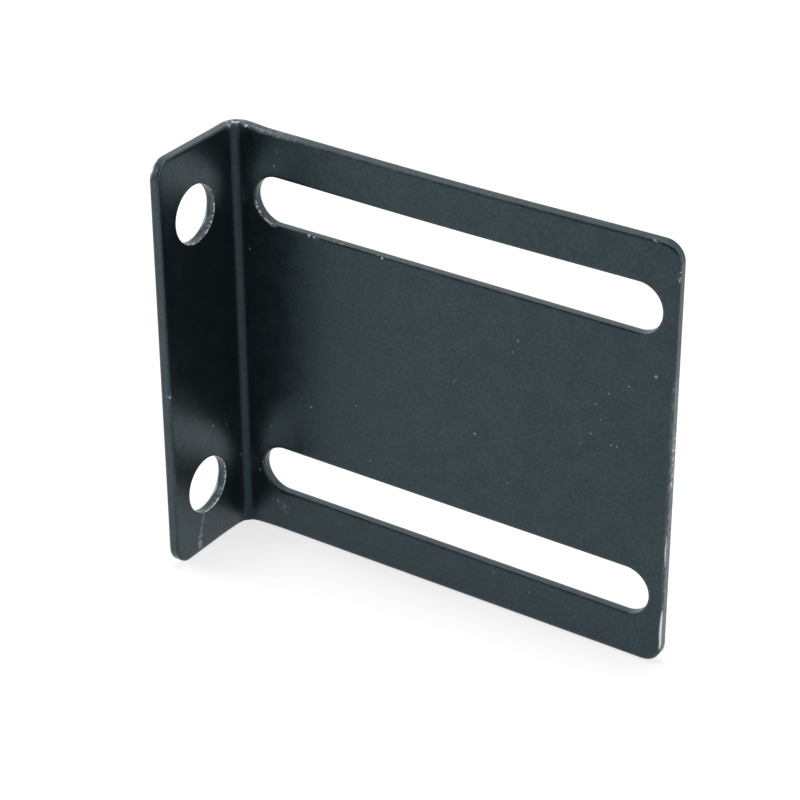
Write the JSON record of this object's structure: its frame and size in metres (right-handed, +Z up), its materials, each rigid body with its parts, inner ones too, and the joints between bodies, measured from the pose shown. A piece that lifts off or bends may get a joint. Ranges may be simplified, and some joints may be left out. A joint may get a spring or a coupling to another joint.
{
  "type": "power strip bracket",
  "caption": "Folded steel angle bracket with a black coat: round holes in the narrow flange for a rack rail and long slots in the wide plate for a power strip.",
  "frame": {"origin": "on the flange's outer face, midway between its two screw holes", "axes": "+Z up along the fold, +X along the slotted plate away from the flange, -Y along the flange away from the plate, so the plate's outer face looks to +Y and the flange's outer face to -X"},
  "size_m": [0.0521, 0.0137, 0.0472],
  "materials": {
    "black_coat": "satin"
  },
  "bodies": {
    "root": {"bracket": "black_coat"}
  },
  "joints": []
}
